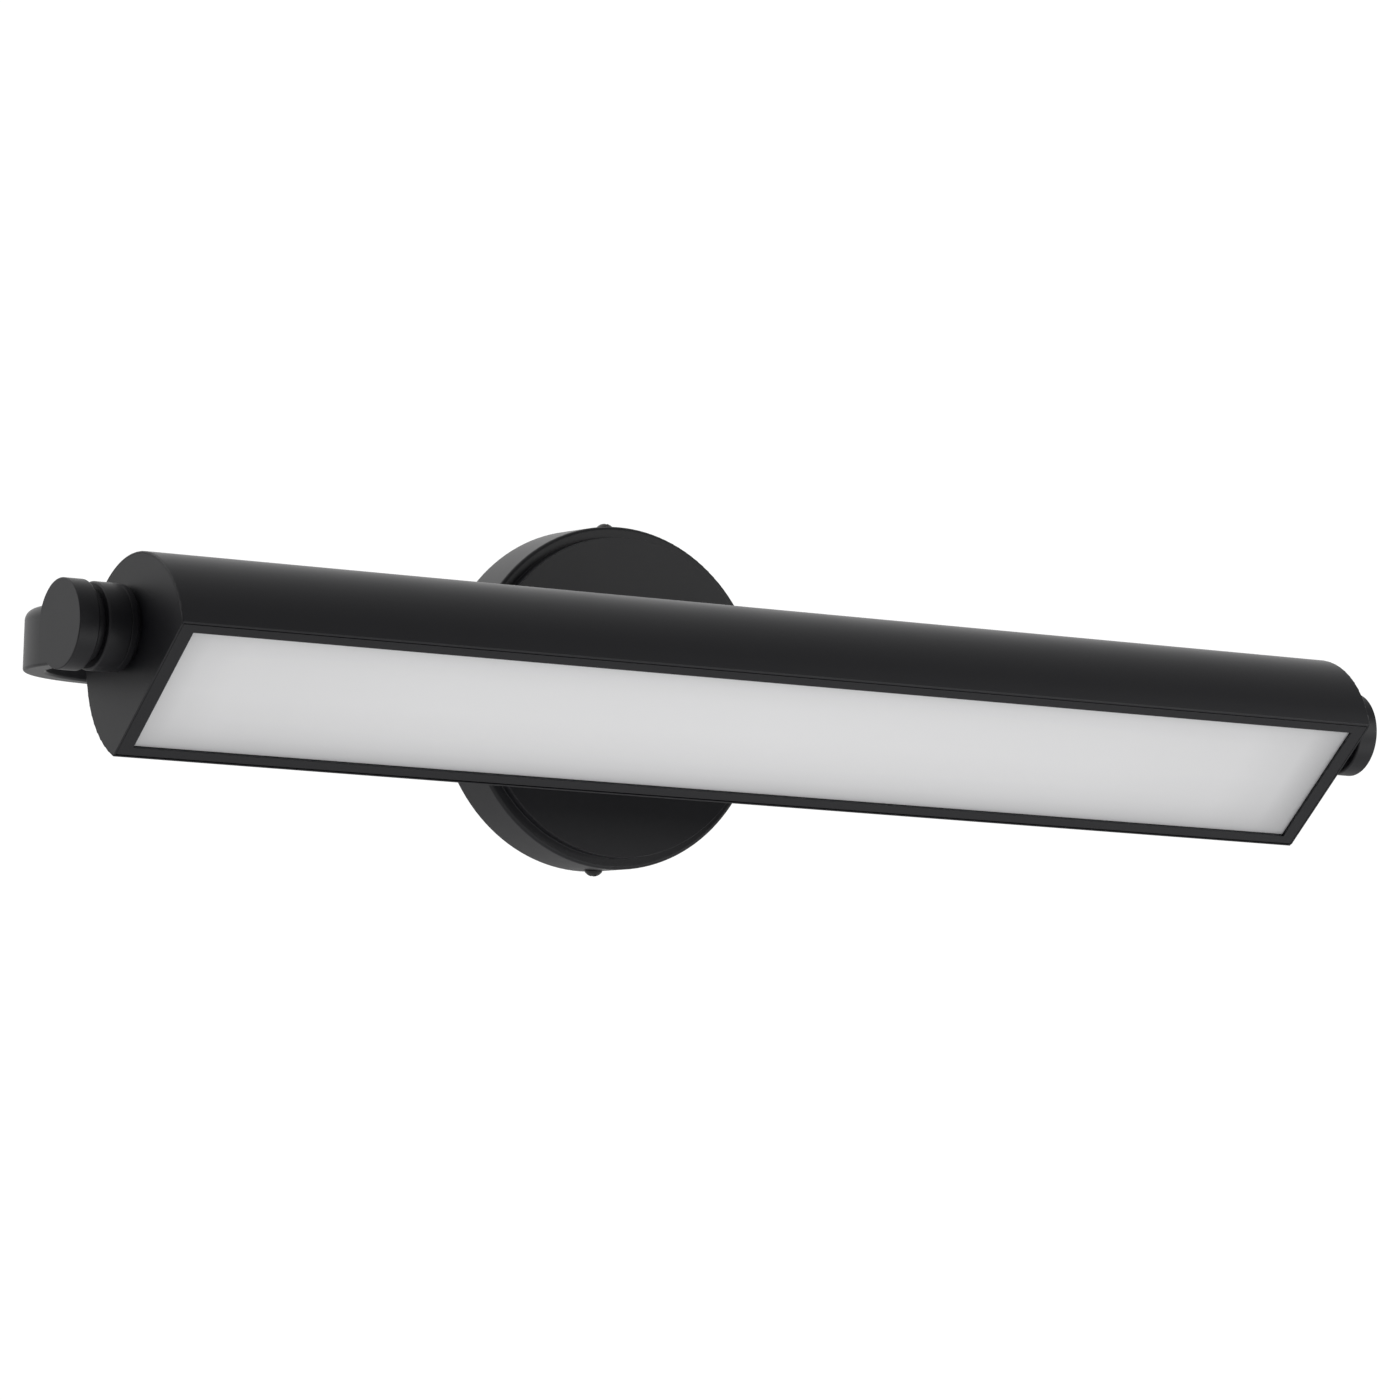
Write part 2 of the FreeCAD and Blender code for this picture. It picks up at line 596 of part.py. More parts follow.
def housing_ribs(inner_radius):
    """Extruded ledges for the LED carrier and catches for the front frame's hooks."""
    length = (-CAP_INNER + 1, CAP_INNER - 1)
    ribs = []
    for side in (-1, 1):
        ledge_z, catch_z = sorted((side * LEDGE_EDGE, side * 40)), sorted((side * CATCH_EDGE, side * 40))
        ribs.append(block(length, (CARRIER_BACK, CARRIER_BACK + LEDGE_DEPTH), ledge_z))
        ribs.append(block(length, (CATCH_FRONT, CATCH_BACK), catch_z))
    inside = rod(inner_radius + 0.5, Vector(length[0], -PIVOT_OFFSET, 0), Vector(length[1], -PIVOT_OFFSET, 0))
    return [rib.common(inside) for rib in ribs]


def housing():
    """D-section extrusion with an open front and a thin edge round the frame and the end caps."""
    body = d_prism(HEAD_RADIUS, FACE, (-HALF, HALF))
    body = body.makeFillet(EDGE_ROUND, body.Edges)
    inner_radius = HEAD_RADIUS - HEAD_WALL
    body = body.cut(d_prism(inner_radius, FACE - 1, (-HALF - 1, HALF + 1)))
    for ends in ((-HALF - 1, -CAP_INNER), (CAP_INNER, HALF + 1)):
        body = body.cut(d_prism(HEAD_RADIUS - LIP, FACE - 1, ends))
    body = body.cut(frame_rebate())
    for rib in housing_ribs(inner_radius):
        body = body.fuse(rib)
    return drilled(body, CARRIER_SCREW_SHANK, four_ways(LEDGE_SCREW), Y * 6).removeSplitter()


CARRIER_SCREW_SHANK = 1.5
TAB_SCREW = Vector(CARRIER_HALF_LENGTH - 3.5, CARRIER_FRONT, 19.0)
LEDGE_SCREW = Vector(80.0, CARRIER_FRONT, 28.0)
TAB_HALF_LENGTH = 14.0
TAB_SHEET = 3.0
TAB_Z = (14.0, 24.0)


def left_end_cap():
    """Inset end plate with the pivot's boss, and two tabs that the LED carrier is screwed to."""
    cap = d_prism(HEAD_RADIUS - LIP - 0.1, FACE, (-HALF, -CAP_INNER)).cut(frame_rebate())
    cap = cap.fuse(rod(BOSS_RADIUS, Vector(-HALF, 0, 0), Vector(-SPACER_INNER, 0, 0)))
    tab = block((-CAP_INNER, TAB_HALF_LENGTH - CAP_INNER), (CARRIER_BACK, CARRIER_BACK + TAB_SHEET), TAB_Z)
    cap = cap.fuse(tab).fuse(tab.mirror(ORIGIN, Z))
    left_tab_screw = Vector(-TAB_SCREW.x, TAB_SCREW.y, TAB_SCREW.z)
    cap = drilled(cap, CARRIER_SCREW_SHANK, above_and_below(left_tab_screw), Y * 8)
    cap = drilled(cap, BUSH_RADIUS + FIT, [Vector(-SPACER_INNER, 0, 0)], X * (SPACER_INNER - CAP_INNER))
    return drilled(cap, COLLAR_SCREW_SHANK + 0.1, collar_screw_centres(-CAP_INNER), -X * 8).removeSplitter()


LEG_Z = (29.9, 30.7)
HOOK_TIP, HOOK_WIDTH, HOOK_SHEET, HOOK_GAP = 32.3, 10.0, 1.0, 0.1
FRAME_ROUND = 0.2             # outer front edges of the border


def front_frame():
    """Flat border round the diffuser, held by sprung hooks on its back."""
    outer_x, outer_z = HALF - LIP - END_REVEAL, FACE_HALF_WIDTH - LIP - SIDE_REVEAL
    plate = block((-outer_x, outer_x), (FACE, FRAME_BACK), (-outer_z, outer_z))
    front_edges = [edge for edge in plate.Edges if edge.BoundBox.YMax < FACE + FRAME_ROUND]
    plate = plate.makeFillet(FRAME_ROUND, front_edges)
    window = block((-WINDOW_HALF_LENGTH, WINDOW_HALF_LENGTH), (FACE - 1, FRAME_BACK + 1),
                   (-WINDOW_HALF_WIDTH, WINDOW_HALF_WIDTH))
    plate = plate.cut(window)
    for x in (-180.0, -60.0, 60.0, 180.0):
        leg = block((x, x + HOOK_WIDTH), (FRAME_BACK, CATCH_BACK + HOOK_GAP + HOOK_SHEET), LEG_Z)
        hook = block((x, x + HOOK_WIDTH), (CATCH_BACK + HOOK_GAP, CATCH_BACK + HOOK_GAP + HOOK_SHEET),
                     (LEG_Z[1], HOOK_TIP))
        for turn in (0.0, 180.0):
            plate = plate.fuse(leg.fuse(hook).rotated(ORIGIN, Y, turn))
    return plate.removeSplitter()


DIFFUSER_RECESS = 1.1
DIFFUSER_FLANGE = 2.0
DIFFUSER_BACK = FRAME_BACK + DIFFUSER_FLANGE
DIFFUSER_HALF_LENGTH, DIFFUSER_HALF_WIDTH = CAP_INNER - 0.3, 29.6


def diffuser():
    """Opal plate whose raised middle fills the frame's window."""
    flange = block((-DIFFUSER_HALF_LENGTH, DIFFUSER_HALF_LENGTH), (FRAME_BACK, DIFFUSER_BACK),
                   (-DIFFUSER_HALF_WIDTH, DIFFUSER_HALF_WIDTH))
    window_gap = 0.15
    half_x, half_z = WINDOW_HALF_LENGTH - window_gap, WINDOW_HALF_WIDTH - window_gap
    middle = block((-half_x, half_x), (FACE + DIFFUSER_RECESS, FRAME_BACK), (-half_z, half_z))
    return flange.fuse(middle).removeSplitter()


REFLECTOR_SHEET = 0.8
REFLECTOR_REAR_HALF_LENGTH, REFLECTOR_REAR_HALF_WIDTH = 229.0, 22.0
REFLECTOR_MARGIN = 1.4        # from the diffuser's edge to the funnel's mouth


def reflector():
    """Four white walls that widen from the LED carrier to the diffuser."""
    def level(y, half_x, half_z):
        return outline(rectangle((-half_x, half_x), (-half_z, half_z)), across_y(y))

    def funnel(grow):
        rear = level(CARRIER_FRONT, REFLECTOR_REAR_HALF_LENGTH + grow, REFLECTOR_REAR_HALF_WIDTH + grow)
        inset = grow - REFLECTOR_MARGIN
        mouth = level(DIFFUSER_BACK, DIFFUSER_HALF_LENGTH + inset, DIFFUSER_HALF_WIDTH + inset)
        return Part.makeLoft([rear, mouth], True, True)

    return funnel(REFLECTOR_SHEET).cut(funnel(0.0))


def led_carrier():
    """Aluminium plate that holds the LED boards and takes their heat to the housing."""
    plate = block((-CARRIER_HALF_LENGTH, CARRIER_HALF_LENGTH), (CARRIER_FRONT, CARRIER_BACK),
                  (-CARRIER_HALF_WIDTH, CARRIER_HALF_WIDTH))
    through = Y * (BOARD_SHEET + CARRIER_SHEET)
    plate = drilled(plate, CARRIER_SCREW_SHANK + 0.2, four_ways(TAB_SCREW) + four_ways(LEDGE_SCREW), through)
    return drilled(plate, BOARD_SCREW_SHANK, board_screw_centres(), through)


def carrier_screws():
    seats = four_ways(TAB_SCREW) + four_ways(LEDGE_SCREW)
    return [screw(seat, Y, CARRIER_SCREW_SHANK - FIT, 4.4) for seat in seats]


BOARD_X = (1.0, 228.0)
BOARD_HALF_WIDTH = 9.0
BOARD_SHEET = 1.6
BOARD_FRONT = CARRIER_FRONT - BOARD_SHEET
BOARD_SCREW_SHANK = 1.25
CHIP_PITCH = 16.0
CHIPS_PER_BOARD = 14
FIRST_CHIP = 11.0
CHIP_LENGTH, CHIP_WIDTH, CHIP_HEIGHT = 3.5, 2.8, 0.7


def board_screw_centres():
    places = (FIRST_CHIP + CHIP_PITCH / 2, FIRST_CHIP + CHIP_PITCH * (CHIPS_PER_BOARD - 1.5))
    return [Vector(side * x, BOARD_FRONT, 0) for side in (-1, 1) for x in places]


def right_led_board():
    board = block(BOARD_X, (BOARD_FRONT, CARRIER_FRONT), (-BOARD_HALF_WIDTH, BOARD_HALF_WIDTH))
    return drilled(board, BOARD_SCREW_SHANK + 0.2, board_screw_centres(), Y * BOARD_SHEET)


def board_screws():
    length = BOARD_SHEET + CARRIER_SHEET
    return [screw(seat, Y, BOARD_SCREW_SHANK - FIT, length) for seat in board_screw_centres()]


def led_chips():
    half_length, half_width = CHIP_LENGTH / 2, CHIP_WIDTH / 2
    chips = []
    for side in (-1, 1):
        for place in range(CHIPS_PER_BOARD):
            x = side * (FIRST_CHIP + CHIP_PITCH * place)
            chips.append(block((x - half_length, x + half_length), (BOARD_FRONT - CHIP_HEIGHT, BOARD_FRONT),
                               (-half_width, half_width)))
    return chips


CONNECTOR_X = (-222.0, -208.0)


def lead_connector():
    return prism(rectangle(CONNECTOR_X, (-5.0, 5.0), 0.8), across_y(CARRIER_BACK), Y * 15.0)


# ---------------------------------------------------------------- leads
LEAD_BEND = 7.2
LEAD_SPLIT_X = -262.0
LEAD_EXIT_Y = -4.5


def tube_along(edges, start, towards):
    """Sweeps the lead's round section along joined lines and arcs."""
    path = Part.Wire(edges)
    section = Part.Wire([Part.Circle(start, towards, LEAD_RADIUS).toShape()])
    tube = path.makePipeShell([section], True, False)
    expected = math.pi * LEAD_RADIUS ** 2 * path.Length
    print(f"lead: {path.Length:.1f} mm long, volume {tube.Volume / expected:.4f} of section times length")
    return tube


def bend(start, corner, end):
    """A quarter arc from start to end, tangent at both to the lines through corner."""
    centre = start + end - corner
    radius = start.distanceToPoint(centre)
    middle = centre + (corner - centre).normalize() * radius
    return Part.Arc(start, middle, end).toShape()


def line(start, end):
    return Part.LineSegment(start, end).toShape()


def arm_lead():
    """Low-voltage lead from the driver, through stem, crossbar and bend, to the pivot axis."""
    cheek_x = ARM_THICKNESS / 2 - DISC_OUTER
    corners = [
        (Vector(0, LEAD_EXIT_Y, PIVOT_Z), LEAD_BEND),
        (Vector(0, LEAD_Y, PIVOT_Z), LEAD_BEND + 0.4),
        (Vector(cheek_x, LEAD_Y, PIVOT_Z), BEND_RADIUS - ARM_THICKNESS / 2),
        (Vector(cheek_x, PIVOT_Y, PIVOT_Z), LEAD_BEND),
    ]
    start, end = Vector(DRIVER_X[0], LEAD_EXIT_Y, PIVOT_Z), Vector(LEAD_SPLIT_X, PIVOT_Y, PIVOT_Z)
    edges = []
    at = start
    for i, (corner, radius) in enumerate(corners):
        following = corners[i + 1][0] if i + 1 < len(corners) else end
        arc_start = corner + (at - corner).normalize() * radius
        arc_end = corner + (following - corner).normalize() * radius
        edges += [line(at, arc_start), bend(arc_start, corner, arc_end)]
        at = arc_end
        print(f"lead bend radius {radius:.1f} mm")
    edges.append(line(at, end))
    return tube_along(edges, start, -X)


def head_lead():
    start, end = Vector(LEAD_SPLIT_X, 0, 0), Vector(CONNECTOR_X[0], 0, 0)
    return tube_along([line(start, end)], start, X)


# ---------------------------------------------------------------- export
def nodes():
    """Every node's name and its shape, or its list of separate solids."""
    fixed = {
        "mounting_strap": mounting_strap(),
        "ground_screw": ground_screw(),
        "driver_bracket": driver_bracket(),
        "bracket_rivets": bracket_rivets(),
        "led_driver": led_driver(),
        "driver_screws": driver_screws(),
        "input_terminals": input_terminals(),
        "canopy": canopy(),
        "canopy_screws": canopy_screws(),
        "stem_nipple": stem_nipple(),
        "nipple_washer": nipple_washer(),
        "nipple_nut": nipple_nut(),
        "nipple_bushing": nipple_bushing(),
        "arm_stem": arm_stem(),
        "arm_crossbar": crossbar(),
        "arm_end_left": left_arm_end(),
        "arm_end_right": mirrored(left_arm_end()),
        "arm_lead": arm_lead(),
        "pivot_tube_left": pivot_tube(),
        "pivot_tube_right": mirrored(pivot_tube()),
        "friction_washers": both_sides(friction_washer()),
        "thrust_washers": both_sides(thrust_washer()),
        "wave_washers": both_sides(wave_washer()),
        "pivot_lock_nuts": both_sides(pivot_lock_nut()),
    }
    head = {
        "head_housing": housing(),
        "end_cap_left": left_end_cap(),
        "end_cap_right": mirrored(left_end_cap()),
        "pivot_collar_left": collar(),
        "pivot_collar_right": mirrored(collar()),
        "spacer_rings": both_sides(spacer_ring()),
        "pivot_bushes": both_sides(pivot_bush()),
        "collar_screws": collar_screws() + [mirrored(screw) for screw in collar_screws()],
        "stop_pins": both_sides(stop_pin()),
        "front_frame": front_frame(),
        "diffuser": diffuser(),
        "reflector": reflector(),
        "led_carrier": led_carrier(),
        "carrier_screws": carrier_screws(),
        "led_board_right": right_led_board(),
        "led_board_left": mirrored(right_led_board()),
        "board_screws": board_screws(),
        "led_chips": led_chips(),
        "lead_connector": lead_connector(),
        "head_lead": head_lead(),
    }
    for name, shape in head.items():
        head[name] = [tilted(piece) for piece in shape] if isinstance(shape, list) else tilted(shape)
    return {**fixed, **head}


def main():
    os.makedirs("parts", exist_ok=True)
    for name, shape in nodes().items():
        body = Part.Compound(shape) if isinstance(shape, list) else shape
        solids = body.Solids
        if not solids or not body.isValid():
            raise ValueError(f"{name} is not a valid solid")
        if not isinstance(shape, list) and len(solids) != 1:
            raise ValueError(f"{name} fell into {len(solids)} solids")
        (solids[0] if len(solids) == 1 else Part.Compound(solids)).exportStep(f"parts/{name}.step")


main()
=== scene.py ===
"""Looks of the picture light: materials, light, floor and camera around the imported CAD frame, in metres."""

import json
import math

import bpy
from mathutils import Matrix, Vector


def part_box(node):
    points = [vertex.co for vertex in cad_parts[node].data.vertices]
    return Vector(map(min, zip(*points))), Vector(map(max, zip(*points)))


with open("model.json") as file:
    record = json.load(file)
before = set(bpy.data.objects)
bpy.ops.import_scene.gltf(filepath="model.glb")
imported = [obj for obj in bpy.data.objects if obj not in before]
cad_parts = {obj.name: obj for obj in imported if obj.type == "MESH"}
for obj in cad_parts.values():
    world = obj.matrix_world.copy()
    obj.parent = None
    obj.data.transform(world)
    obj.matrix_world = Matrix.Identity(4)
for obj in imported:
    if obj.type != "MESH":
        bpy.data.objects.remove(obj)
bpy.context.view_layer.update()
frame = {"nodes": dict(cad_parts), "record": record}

# ---------------------------------------------------------------- camera
CAMERA_PLACE = Vector((-1.3638, -2.3027, -0.2252))
CAMERA_YAW = math.radians(31.546)     # from +Y towards +X
CAMERA_PITCH = math.radians(4.849)    # looking up
CAMERA_ROLL = math.radians(1.862)
LENS_MM, SENSOR_MM = 184.73, 36.0


def make_camera():
    """Looks up at the lamp from the front left, with a long lens."""
    forward = Vector((
        math.sin(CAMERA_YAW) * math.cos(CAMERA_PITCH),
        math.cos(CAMERA_YAW) * math.cos(CAMERA_PITCH),
        math.sin(CAMERA_PITCH),
    ))
    level_right = forward.cross(Vector((0, 0, 1))).normalized()
    level_up = level_right.cross(forward)
    right = level_right * math.cos(CAMERA_ROLL) + level_up * math.sin(CAMERA_ROLL)
    up = right.cross(forward)
    data = bpy.data.cameras.new("camera")
    data.lens, data.sensor_width = LENS_MM, SENSOR_MM
    camera = bpy.data.objects.new("camera", data)
    turn = Matrix((right, up, -forward)).transposed().to_4x4()
    camera.matrix_world = Matrix.Translation(CAMERA_PLACE) @ turn
    bpy.context.scene.collection.objects.link(camera)
    bpy.context.scene.camera = camera


# ---------------------------------------------------------------- shader nodes
def grey(level):
    return (level, level, level)


def noise(tree, scale, detail):
    """Noise in the object's own coordinates, with scale in cycles a metre and detail in octaves."""
    place = tree.nodes.new("ShaderNodeTexCoord")
    texture = tree.nodes.new("ShaderNodeTexNoise")
    texture.inputs["Scale"].default_value = scale
    texture.inputs["Detail"].default_value = detail
    tree.links.new(place.outputs["Object"], texture.inputs["Vector"])
    return texture.outputs["Fac"]


def colour_curve(tree, value, stops):
    """A colour that follows (place, colour) stops as value goes from 0 to 1."""
    node = tree.nodes.new("ShaderNodeValToRGB")
    elements = node.color_ramp.elements
    while len(elements) < len(stops):
        elements.new(0.5)
    for element, (place, colour) in zip(elements, stops):
        element.position = place
        element.color = (*colour, 1.0)
    tree.links.new(value, node.inputs["Fac"])
    return node.outputs["Color"]


def level_curve(tree, value, stops):
    """A grey level that follows (place, level) stops as value goes from 0 to 1."""
    return colour_curve(tree, value, [(place, grey(level)) for place, level in stops])


def ramp(tree, value, low, high):
    """Maps a 0 to 1 value onto the colours between low and high."""
    return colour_curve(tree, value, ((0.0, low), (1.0, high)))


def maths(tree, operation, first, second):
    """Combines two numbers or sockets."""
    node = tree.nodes.new("ShaderNodeMath")
    node.operation = operation
    for socket, value in zip(node.inputs, (first, second)):
        if isinstance(value, (int, float)):
            socket.default_value = value
        else:
            tree.links.new(value, socket)
    return node.outputs[0]


def bump(tree, height, depth):
    """Raises the shader's surface by up to depth metres."""
    node = tree.nodes.new("ShaderNodeBump")
    node.inputs["Strength"].default_value = 1.0
    node.inputs["Distance"].default_value = depth
    tree.links.new(height, node.inputs["Height"])
    tree.links.new(node.outputs["Normal"], shader_of(tree).inputs["Normal"])


def shader_of(tree):
    return tree.nodes["Principled BSDF"]


# ---------------------------------------------------------------- finishes
# Each is a cloud that colour and roughness drift with, and a fine grain: (cycles a metre, octaves).
COAT_CLOUD, COAT_GRAIN = (60.0, 3.0), (1500.0, 2.0)
METAL_CLOUD, METAL_GRAIN = (300.0, 4.0), (3000.0, 3.0)
PLASTIC_CLOUD, PLASTIC_GRAIN = (90.0, 2.0), (2500.0, 2.0)
COAT_DRIFT, METAL_DRIFT, PLASTIC_DRIFT = 0.02, 0.06, 0.03      # how far the roughness drifts each way
METAL_DARKEST, PLASTIC_DARKEST = 0.85, 0.95                    # the cloud's dark share of the colour
ORANGE_PEEL, SCRATCHES = 0.00001, 0.00001                      # height of the grain
SATIN_MOULD, ROUGH_MOULD = 0.000006, 0.00002


def surface(name, colours, roughness, drift, cloud, grain, depth):
    """A material between two colours, with a grain that is depth metres high."""
    material = bpy.data.materials.new(name)
    material.use_nodes = True
    tree = material.node_tree
    shader = shader_of(tree)
    clouds = noise(tree, *cloud)
    smoother, rougher = grey(roughness - drift), grey(roughness + drift)
    tree.links.new(ramp(tree, clouds, *colours), shader.inputs["Base Color"])
    tree.links.new(ramp(tree, clouds, smoother, rougher), shader.inputs["Roughness"])
    bump(tree, noise(tree, *grain), depth)
    return material


def shaded(colour, share):
    """From a darker colour to the colour itself."""
    return [c * share for c in colour], colour


def powder_coat(name, dark, light, roughness):
    """Powder coat or passivation: a fine orange-peel surface over a nearly even colour."""
    return surface(name, (dark, light), roughness, COAT_DRIFT, COAT_CLOUD, COAT_GRAIN, ORANGE_PEEL)


def metal(name, colour, roughness):
    """Bare metal with fine turning or rolling marks."""
    colours = shaded(colour, METAL_DARKEST)
    material = surface(name, colours, roughness, METAL_DRIFT, METAL_CLOUD, METAL_GRAIN, SCRATCHES)
    shader_of(material.node_tree).inputs["Metallic"].default_value = 1.0
    return material


def plastic(name, colour, roughness, depth=SATIN_MOULD):
    """Moulded or cast plastic."""
    colours = shaded(colour, PLASTIC_DARKEST)
    return surface(name, colours, roughness, PLASTIC_DRIFT, PLASTIC_CLOUD, PLASTIC_GRAIN, depth)


# ---------------------------------------------------------------- opal plate
HEAD_TILT = math.radians(48.1)        # the face looks this far below the horizon at rest
END_HIDDEN, SIDE_HIDDEN = 0.0029, 0.0020   # strips of the plate behind the front frame
PAINTED_GLOW = 0.22                           # painted glow: an emission that stands in for studio light scattered in the plate
# The first colour is painted shade, the plate's colour where the front frame's shadow falls. The second is
# the plate's own colour.
OPAL_PAINTED_SHADE, OPAL_MIDDLE = (0.63, 0.63, 0.64), (0.84, 0.84, 0.85)
OPAL_ROUGHNESS = 0.4
PAINTED_LIGHT_ALONG = (                             # painted light of the plate from its left end to its right end: painted shade next to the frame, brightest in the middle
    (0.0, 0.45), (0.02, 0.76), (0.05, 0.9), (0.2, 0.98), (0.5, 1.0),
    (0.8, 0.9), (0.92, 0.8), (0.97, 0.59), (1.0, 0.0),
)
PAINTED_LIGHT_ACROSS = (                            # and from its lower side to its upper side
    (0.0, 0.28), (0.06, 0.47), (0.13, 0.67), (0.2, 0.79), (0.3, 0.9),
    (0.5, 1.0), (0.7, 0.98), (0.8, 0.94), (0.91, 0.8), (1.0, 0.55),
)


def window_halves():
    """Half the length and half the width of the plate that shows in the front frame."""
    level = Matrix.Rotation(-HEAD_TILT, 3, "X")
    points = [level @ vertex.co for vertex in frame["nodes"]["diffuser"].data.vertices]
    heights = [point.z for point in points]
    half_length = max(point.x for point in points) - END_HIDDEN
    half_width = (max(heights) - min(heights)) / 2 - SIDE_HIDDEN
    return half_length, half_width


def level_place(tree):
    """The place on the plate, measured from its middle along its own length and width."""
    low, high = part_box("diffuser")
    place = tree.nodes.new("ShaderNodeTexCoord")
    level = tree.nodes.new("ShaderNodeMapping")
    level.vector_type = "TEXTURE"
    level.inputs["Location"].default_value = (low + high) / 2
    level.inputs["Rotation"].default_value = (HEAD_TILT, 0, 0)
    split = tree.nodes.new("ShaderNodeSeparateXYZ")
    tree.links.new(place.outputs["Object"], level.inputs["Vector"])
    tree.links.new(level.outputs["Vector"], split.inputs["Vector"])
    return split.outputs["X"], split.outputs["Z"]


def painted_light_level(tree, place, half, stops):
    """The plate's painted light level where place goes from -half to half, with painted shade near the frame.
    """
    share = tree.nodes.new("ShaderNodeMapRange")
    share.inputs["From Min"].default_value = -half
    share.inputs["From Max"].default_value = half
    tree.links.new(place, share.inputs["Value"])
    return level_curve(tree, share.outputs["Result"], stops)


def opal(name):
    """Opal acrylic in front of the lamp's white box, with a painted glow and painted shade that darkens it
    towards its edges next to the front frame.
    """
    material = plastic(name, OPAL_MIDDLE, OPAL_ROUGHNESS)
    tree = material.node_tree
    shader = shader_of(tree)
    along, across = level_place(tree)
    half_length, half_width = window_halves()
    lengthwise = painted_light_level(tree, along, half_length, PAINTED_LIGHT_ALONG)
    crosswise = painted_light_level(tree, across, half_width, PAINTED_LIGHT_ACROSS)
    # The product is the painted light level. It darkens the base colour to painted shade next to the frame
    # and sets how strong the painted glow is.
    shade = maths(tree, "MULTIPLY", crosswise, lengthwise)
    tree.links.new(ramp(tree, shade, OPAL_PAINTED_SHADE, OPAL_MIDDLE), shader.inputs["Base Color"])
    # The plate's emission is painted light, and it is dimmer towards the plate's edges.
    shader.inputs["Emission Color"].default_value = (1.0, 1.0, 1.0, 1.0)
    tree.links.new(maths(tree, "MULTIPLY", shade, PAINTED_GLOW), shader.inputs["Emission Strength"])
    return material


# ---------------------------------------------------------------- materials of the slots
COAT_DARK, COAT_LIGHT = (0.0066, 0.0066, 0.0092), (0.0086, 0.0086, 0.0118)
COAT_ROUGHNESS = 0.46
GREEN_DARK, GREEN_LIGHT = (0.02, 0.20, 0.06), (0.03, 0.28, 0.09)


def make_materials():
    """The material of each of the record's slots."""
    return {
        "coated_steel": powder_coat("powder_coat_steel", COAT_DARK, COAT_LIGHT, COAT_ROUGHNESS),
        "coated_aluminium": powder_coat("powder_coat_aluminium", COAT_DARK, COAT_LIGHT, COAT_ROUGHNESS),
        "black_screw": powder_coat("black_zinc", dark=grey(0.008), light=grey(0.012), roughness=0.35),
        "zinc_steel": metal("zinc_plate", colour=(0.62, 0.63, 0.65), roughness=0.38),
        "brass": metal("brass", colour=(0.75, 0.58, 0.30), roughness=0.3),
        "green_screw": powder_coat("green_passivate", GREEN_DARK, GREEN_LIGHT, roughness=0.4),
        "opal": opal("opal_acrylic"),
        "white_plastic": plastic("white_plastic", colour=(0.85, 0.85, 0.84), roughness=0.4),
        "driver_case": plastic("driver_case", (0.80, 0.80, 0.78), roughness=0.5, depth=ROUGH_MOULD),
        "board": plastic("solder_mask", colour=(0.86, 0.87, 0.85), roughness=0.3),
        "led": plastic("phosphor", colour=(0.95, 0.82, 0.30), roughness=0.35),
        "aluminium": metal("aluminium", colour=(0.77, 0.78, 0.79), roughness=0.4),
        "nylon": plastic("black_nylon", colour=grey(0.06), roughness=0.5),
        "lead": plastic("silicone_jacket", colour=grey(0.03), roughness=0.6),
    }


def dress_nodes():
    """Gives every CAD node the material of its slot."""
    materials = make_materials()
    for part in frame["record"]["subparts"]:
        node = frame["nodes"][part["node"]]
        node.data.materials.clear()
        node.data.materials.append(materials[part["material_slot"]])


# ---------------------------------------------------------------- studio
FLOOR_Z = -3.2                # far enough down that a view from below stays above it
FLOOR_SIZE = 40.0
FLOOR_DARK, FLOOR_LIGHT = grey(0.9), grey(0.92)
FLOOR_CLOUD = (0.5, 2.0)      # cycles a metre, octaves
BACKDROP = 1.05               # white behind the object
SURROUND = 0.21               # dimmest part of the room
LOBES = (                     # direction of a soft light, how strong and how narrow it is
    ((-0.38, 0.75, 0.55), 1.35, 4.0),
    ((0.60, 0.79, 0.13), 1.85, 7.0),
    ((0.15, 0.20, 1.00), 0.38, 3.0),
)
SOFTBOXES = (                 # name, place, what it faces, size in metres, watts
    ("front_right", (1.0, -1.1, 0.25), (0.1, -0.1, 0), (0.8, 0.6), 3.5),
    ("low_front", (0.80, -1.20, -0.75), (0, -0.1, 0), (0.8, 0.5), 2.2),
)


def make_floor():
    half = FLOOR_SIZE / 2
    corners = [(x * half, y * half, FLOOR_Z) for x, y in ((-1, -1), (1, -1), (1, 1), (-1, 1))]
    mesh = bpy.data.meshes.new("floor")
    mesh.from_pydata(corners, [], [range(len(corners))])
    floor = bpy.data.objects.new("floor", mesh)
    bpy.context.scene.collection.objects.link(floor)
    material = bpy.data.materials.new("floor")
    material.use_nodes = True
    tree = material.node_tree
    shader = shader_of(tree)
    shade = noise(tree, *FLOOR_CLOUD)
    tree.links.new(ramp(tree, shade, FLOOR_DARK, FLOOR_LIGHT), shader.inputs["Base Color"])
    shader.inputs["Roughness"].default_value = 1.0
    mesh.materials.append(material)


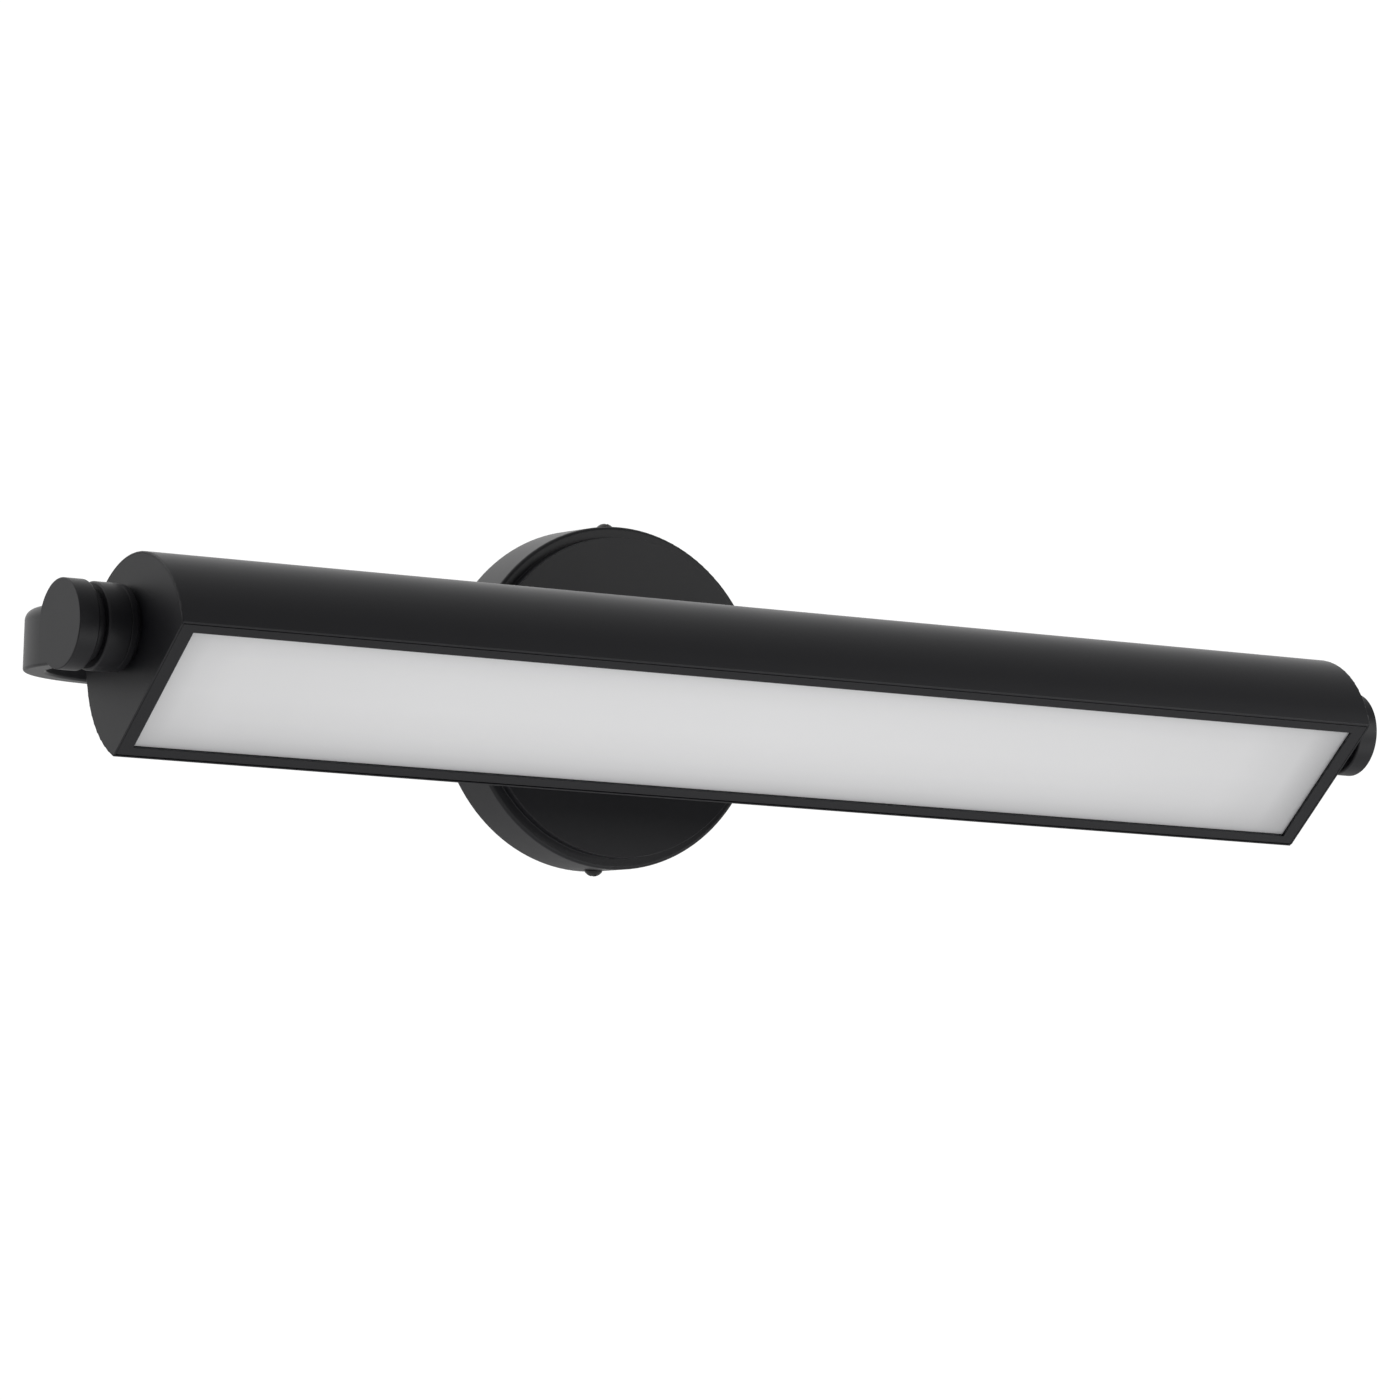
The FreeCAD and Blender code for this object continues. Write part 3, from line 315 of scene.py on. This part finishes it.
def room_light(tree):
    """How bright the room is in each direction: dim, with broad soft lights."""
    place = tree.nodes.new("ShaderNodeTexCoord")
    total = SURROUND
    for direction, strength, narrowness in LOBES:
        facing = tree.nodes.new("ShaderNodeVectorMath")
        facing.operation = "DOT_PRODUCT"
        facing.inputs[1].default_value = Vector(direction).normalized()
        tree.links.new(place.outputs["Generated"], facing.inputs[0])
        towards = maths(tree, "MAXIMUM", facing.outputs["Value"], 0.0)
        lobe = maths(tree, "MULTIPLY", maths(tree, "POWER", towards, narrowness), strength)
        total = maths(tree, "ADD", lobe, total)
    return total


def make_world():
    """The room lights the object, and the camera sees plain white past it."""
    world = bpy.data.worlds.new("studio")
    bpy.context.scene.world = world
    world.use_nodes = True
    tree = world.node_tree
    tree.nodes.clear()
    output = tree.nodes.new("ShaderNodeOutputWorld")
    mix = tree.nodes.new("ShaderNodeMixShader")
    seen = tree.nodes.new("ShaderNodeBackground")
    lit = tree.nodes.new("ShaderNodeBackground")
    path = tree.nodes.new("ShaderNodeLightPath")
    seen.inputs["Color"].default_value = (1, 1, 1, 1)
    seen.inputs["Strength"].default_value = BACKDROP
    tree.links.new(room_light(tree), lit.inputs["Strength"])
    tree.links.new(path.outputs["Is Camera Ray"], mix.inputs["Fac"])
    tree.links.new(lit.outputs["Background"], mix.inputs[1])
    tree.links.new(seen.outputs["Background"], mix.inputs[2])
    tree.links.new(mix.outputs["Shader"], output.inputs["Surface"])


def softbox(name, place, target, size, watts):
    """A rectangular soft light that faces the target."""
    data = bpy.data.lights.new(name, "AREA")
    data.shape = "RECTANGLE"
    data.size, data.size_y = size
    data.energy = watts
    lamp = bpy.data.objects.new(name, data)
    lamp.location = place
    lamp.rotation_euler = (Vector(target) - Vector(place)).to_track_quat("-Z", "Y").to_euler()
    bpy.context.scene.collection.objects.link(lamp)


def make_studio():
    make_floor()
    make_world()
    for box in SOFTBOXES:
        softbox(*box)
    bpy.context.scene.view_settings.view_transform = "Standard"


make_camera()
dress_nodes()
make_studio()
